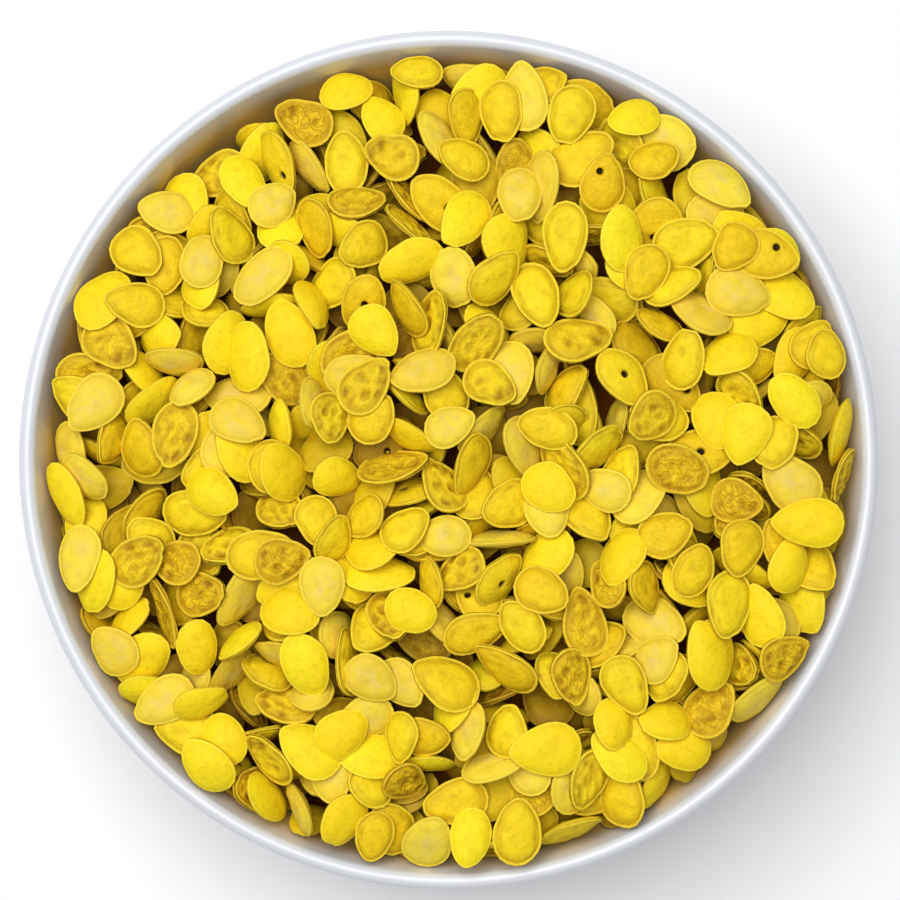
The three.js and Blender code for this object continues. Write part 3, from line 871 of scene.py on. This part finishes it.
def roastedHusk(name, look):
    material, tree = newMaterial(name)
    value = {}  # sockets and numbers by what they stand for
    for label in ("tone", "inner", "paintedRimHighlight", "creaseShadeAndSeam", "sunk", "holeAndSplitShade"):
        value[label] = addNode(tree, "ShaderNodeAttribute", {"attribute_name": label}).outputs["Fac"]
    apart = addNode(tree, "ShaderNodeVectorMath", {"operation": "SCALE"}, {
        0: coating["apart"], "Scale": value["tone"]})
    ownPlace = addNode(tree, "ShaderNodeAttribute", {"attribute_name": "ownPlace"})
    place = addNode(tree, "ShaderNodeVectorMath", {"operation": "ADD"}, {
        0: ownPlace.outputs["Vector"], 1: apart.outputs["Vector"]})
    noise = {}
    for label, (size, detail) in coating["noise"].items():
        noise[label] = addNode(tree, "ShaderNodeTexNoise", {}, {
            "Vector": place.outputs["Vector"], "Scale": 1 / size, "Detail": detail,
            "Roughness": coating["noiseRoughness"]}).outputs["Fac"]
    off = addNode(tree, "ShaderNodeMath", {"operation": "SUBTRACT"}, {0: noise["fold"], 1: 0.5})
    fold = addNode(tree, "ShaderNodeMath", {"operation": "ABSOLUTE"}, {0: off.outputs["Value"]})
    ramps = {
        "fold": (fold.outputs["Value"], coating["foldWidth"], 0.0, 1.0),
        "worn": (value["tone"], 0.0, 1.0, look["veins"]),  # seeds of a deeper tone are more wrinkled
        "veined": (value["inner"], *coating["veined"], 1.0),
        "pale": (noise["blotch"], 0.42, 0.7, look["pale"]),
        "mottle": (noise["blotch"], 0.48, 0.75, look["mottle"]),
        "speck": (noise["mottle"], 0.52, 0.72, look["speck"]),
        "dust": (noise["grain"], 0.5, 0.7, look["dust"]),
    }
    for label, (source, low, high, most) in ramps.items():
        value[label] = addNode(tree, "ShaderNodeMapRange", {}, {
            "Value": source, "From Min": low, "From Max": high, "To Max": most}).outputs["Result"]
    value |= {"paintedRimHighlightMost": coating["paintedRimHighlight"], "creaseShadeAndSeamMost": look["creaseShadeAndSeam"], "sunkMost": coating["sunk"]}
    products = (
        ("wornFold", "fold", "worn"), ("vein", "wornFold", "veined"), ("pale", "pale", "inner"),
        ("paintedRimHighlight", "paintedRimHighlight", "paintedRimHighlightMost"), ("creaseShadeAndSeam", "creaseShadeAndSeam", "creaseShadeAndSeamMost"), ("sunk", "sunk", "sunkMost"))
    for label, first, second in products:
        value[label] = addNode(tree, "ShaderNodeMath", {"operation": "MULTIPLY"}, {
            0: value[first], 1: value[second]}).outputs["Value"]
    base = addNode(tree, "ShaderNodeMix", {"data_type": "RGBA"}, {
        "Factor": value["tone"], 6: linear(look["bright"]), 7: linear(look["deep"])}).outputs[2]
    for label, colour in coating["layers"]:
        base = addNode(tree, "ShaderNodeMix", {"data_type": "RGBA"}, {
            "Factor": value[label], 6: base, 7: linear(colour)}).outputs[2]
    fine = addNode(tree, "ShaderNodeBump", {}, {
        "Strength": coating["grainStrength"], "Distance": look["rough"] * mm, "Height": noise["grain"]})
    relief = addNode(tree, "ShaderNodeMath", {"operation": "SUBTRACT"}, {
        0: noise["mottle"], 1: value["vein"]})
    bump = addNode(tree, "ShaderNodeBump", {}, {
        "Strength": coating["reliefStrength"], "Distance": coating["reliefOver"] * look["rough"] * mm,
        "Height": relief.outputs["Value"], "Normal": fine.outputs["Normal"]})
    shader = addNode(tree, "ShaderNodeBsdfPrincipled", {}, {
        "Base Color": base, "Roughness": 0.6, "IOR": 1.45, "Specular IOR Level": 0.22,
        "Normal": bump.outputs["Normal"]})
    addNode(tree, "ShaderNodeOutputMaterial", {}, {"Surface": shader.outputs["BSDF"]})
    return material


# The core under the loose seeds, seen only as the dark of the gaps: painted shade, deep brown in place of the
# shaded seeds below, dull, with dim rounded lumps.
coreSizes = {
    "off": 0.5,  # away from the bowl's inner face
    "edge": 6.0,  # in from the bowl's inner edge
    "rings": 30,
    "sides": 72,
    "steps": 12,
    "lump": 9.0,
    "lumpHeight": 1.5,
    "shadeBrowns": ("#6b3f08", "#3a1d05"),
}


def darkSeeds():
    material, tree = newMaterial("shaded seeds deep in the heap")
    place = addNode(tree, "ShaderNodeTexCoord").outputs["Object"]
    lumps = addNode(tree, "ShaderNodeTexVoronoi", {}, {"Vector": place, "Scale": 1000 / coreSizes["lump"]})
    light, dark = coreSizes["shadeBrowns"]
    tint = addNode(tree, "ShaderNodeMix", {"data_type": "RGBA"}, {
        "Factor": lumps.outputs["Distance"], 6: linear(light), 7: linear(dark)})
    bump = addNode(tree, "ShaderNodeBump", {}, {
        "Strength": 0.8, "Distance": coreSizes["lumpHeight"] * mm, "Height": lumps.outputs["Distance"]})
    shader = addNode(tree, "ShaderNodeBsdfPrincipled", {}, {
        "Base Color": tint.outputs[2], "Roughness": 0.9, "IOR": 1.45, "Specular IOR Level": 0.0,
        "Normal": bump.outputs["Normal"]})
    addNode(tree, "ShaderNodeOutputMaterial", {}, {"Surface": shader.outputs["BSDF"]})
    return material


def coreTop(x, y):
    wall = insideHeight(min(math.hypot(x, y) + heapSizes["wallClearance"], innerRadius))
    return max(float(heapHeight(x, y)) - heapSizes["bed"], wall)


def makeCore():
    size = coreSizes
    edge = innerRadius - size["edge"]
    under = [offInside(edge * k / size["steps"], -size["off"]) for k in range(size["steps"], -1, -1)]
    widest = under[0][0]
    rings = [(widest * (k + 1) / size["rings"], None) for k in range(size["rings"])] + under[:-1]
    points = [(0.0, 0.0, coreTop(0, 0))]
    for radius, z in rings:
        for k in range(size["sides"]):
            turn = 2 * math.pi * k / size["sides"]
            x, y = radius * math.cos(turn), radius * math.sin(turn)
            points.append((x, y, coreTop(x, y) if z is None else z))
    points.append((0.0, 0.0, under[-1][1]))
    core = makeObject("heap_core", np.array(points) * mm, skinFaces(len(rings), size["sides"]))
    core.data.materials.append(darkSeeds())
    return core


# The object
bowl = makeBowl()
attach(bowl, body)
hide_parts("bowl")
print("bowl turned")

seeds = Heap().fill()
print("seeds at rest that show:", len(seeds))

core = makeCore()
pieces = [core]
rng = np.random.default_rng(seedForm["seed"])
names = list(seedKinds)
shares = np.array([seedKinds[n]["share"] for n in names])
chosen = rng.choice(len(names), len(seeds), p=shares / shares.sum())
tree = seedTree()
for number, name in enumerate(names):
    mine = [s for s, c in zip(seeds, chosen) if c == number]
    husk = roastedHusk(name.replace("_", " ") + " in a dusty coating", huskLooks[name])
    piece = makeSeeds(name, seedKinds[name], mine, tree, husk, rng)
    print(name, len(mine), "seeds,", sum(len(f.vertices) - 2 for f in piece.data.polygons), "triangles")
    pieces.append(piece)
for piece in pieces:
    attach(piece, body)
    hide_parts("seed_heap")

# Stage, light and camera
stage = {
    "floorHalf": 3.0,
    "floorColour": "#fafafa",
    "worldColour": "#f9faff",
    "worldStrength": 0.24,
    "keyPlace": (-0.3, 0.36, 1.65),
    "keySize": 1.4,
    "keyPower": 29.8,
    "lens": 110.0,
    "sensor": 36.0,
    "imageSide": 900.0,
    "rimPixels": 429.5,  # radius of the rim in the image
    "middlePixel": (448.65, 460.2),
}


def makeFloor():
    side = stage["floorHalf"]
    corners = [(-side, -side, 0), (side, -side, 0), (side, side, 0), (-side, side, 0)]
    floor = makeObject("floor", corners, [(0, 1, 2, 3)])
    material, tree = newMaterial("pale studio floor")
    shader = addNode(tree, "ShaderNodeBsdfPrincipled", {}, {
        "Base Color": linear(stage["floorColour"]), "Roughness": 0.9})
    addNode(tree, "ShaderNodeOutputMaterial", {}, {"Surface": shader.outputs["BSDF"]})
    floor.data.materials.append(material)
    return floor


def makeLight():
    world = bpy.data.worlds.new("soft studio")
    world.use_nodes = True
    world.node_tree.nodes.clear()
    glow = addNode(world.node_tree, "ShaderNodeBackground", {}, {
        "Color": linear(stage["worldColour"]), "Strength": stage["worldStrength"]})
    addNode(world.node_tree, "ShaderNodeOutputWorld", {}, {"Surface": glow.outputs["Background"]})
    bpy.context.scene.world = world
    lamp = bpy.data.lights.new("key softbox", "AREA")
    lamp.shape, lamp.size, lamp.energy = "SQUARE", stage["keySize"], stage["keyPower"]
    key = bpy.data.objects.new("key softbox", lamp)
    key.location = stage["keyPlace"]
    key.rotation_euler = (-Vector(stage["keyPlace"])).to_track_quat("-Z", "Y").to_euler()
    bpy.context.scene.collection.objects.link(key)


def makeCamera():
    lens, sensor, side = stage["lens"], stage["sensor"], stage["imageSide"]
    widest = (bowlSizes["rimHeight"] - lipRadius) * mm
    away = bowlSizes["rimRadius"] * mm * lens / (stage["rimPixels"] * sensor / side)
    data = bpy.data.cameras.new("straight above")
    data.lens, data.sensor_width = lens, sensor
    data.shift_x = (side / 2 - stage["middlePixel"][0]) / side
    data.shift_y = (stage["middlePixel"][1] - side / 2) / side
    camera = bpy.data.objects.new("straight above", data)
    camera.location = (0, 0, widest + away)
    bpy.context.scene.collection.objects.link(camera)
    bpy.context.scene.camera = camera


floor = makeFloor()
makeLight()
makeCamera()
bpy.context.scene.view_settings.view_transform = "Standard"
print("stage, light and camera set")
